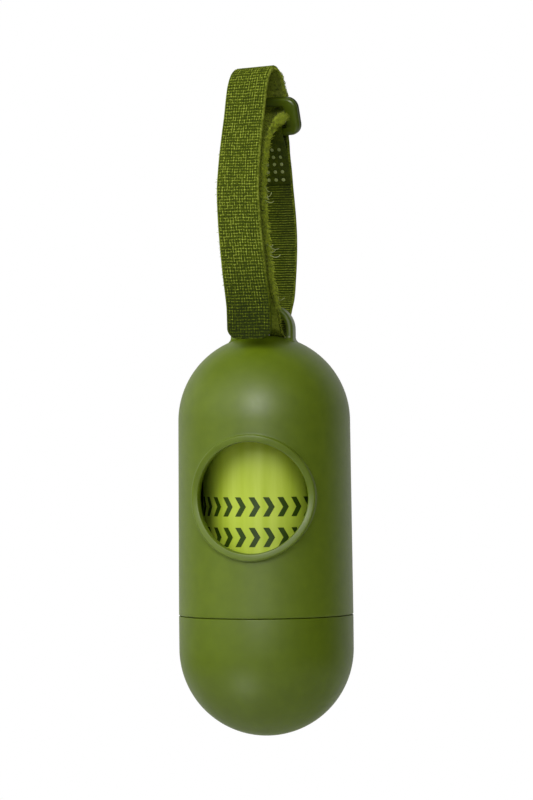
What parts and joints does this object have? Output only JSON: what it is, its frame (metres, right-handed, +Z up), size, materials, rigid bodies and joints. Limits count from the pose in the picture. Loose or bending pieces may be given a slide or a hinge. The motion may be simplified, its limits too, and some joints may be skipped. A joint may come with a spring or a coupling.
{
  "type": "dog waste bag dispenser",
  "caption": "Capsule dispenser for a roll of dog waste bags, with a bag window, a push-on end cap and a hook-and-loop strap that hangs it from a lead.",
  "frame": {"origin": "inside the strap's loop on the capsule's axis, where the lead runs", "axes": "+Z up along the capsule's axis, -Y the way the bag window faces, +X to the right of the window"},
  "size_m": [0.04, 0.0408, 0.153],
  "materials": {
    "capsule_plastic": "moulded olive plastic with a soft satin sheen",
    "core_card": "plain grey-brown card",
    "bag_film": "thin lime green film with a slight sheen",
    "strap_fabric": "olive woven hook-and-loop webbing with fuzzy edges",
    "hook_plastic": "field of fine plastic hooks",
    "buckle_plastic": "glossy dark olive plastic"
  },
  "bodies": {
    "strap": {"strap_webbing": "strap_fabric"},
    "tail": {"strap_tail": "strap_fabric", "hook_tape": "hook_plastic"},
    "buckle": {"buckle": "buckle_plastic"},
    "shell": {"body_shell": "capsule_plastic"},
    "cap": {"end_cap": "capsule_plastic"},
    "roll": {"bag_core": "core_card", "bag_roll": "bag_film", "lead_bag": "bag_film"}
  },
  "joints": [
    {"name": "strap_swing", "type": "hinge", "parent": "strap", "child": "shell", "pos_m": [0, 0, -0.03232], "axis": [1, 0, 0], "range_deg": [-6, 40]},
    {"name": "cap_pull", "type": "slide", "parent": "shell", "child": "cap", "axis": [0, 0, -1], "range_m": [0, 0.03]},
    {"name": "roll_spin", "type": "hinge", "parent": "shell", "child": "roll", "pos_m": [0, 0, -0.09], "axis": [0, 0, 1], "continuous": true},
    {"name": "tail_peel", "type": "hinge", "parent": "strap", "child": "tail", "pos_m": [-0.00239, -0.00735, 0.01568], "axis": [-0.9511, 0.309, 0], "range_deg": [0, 110]},
    {"name": "buckle_pivot", "type": "hinge", "parent": "strap", "child": "buckle", "pos_m": [0.00093, 0.00042, 0.00808], "axis": [0.9511, -0.309, 0], "range_deg": [-8, 8]}
  ]
}
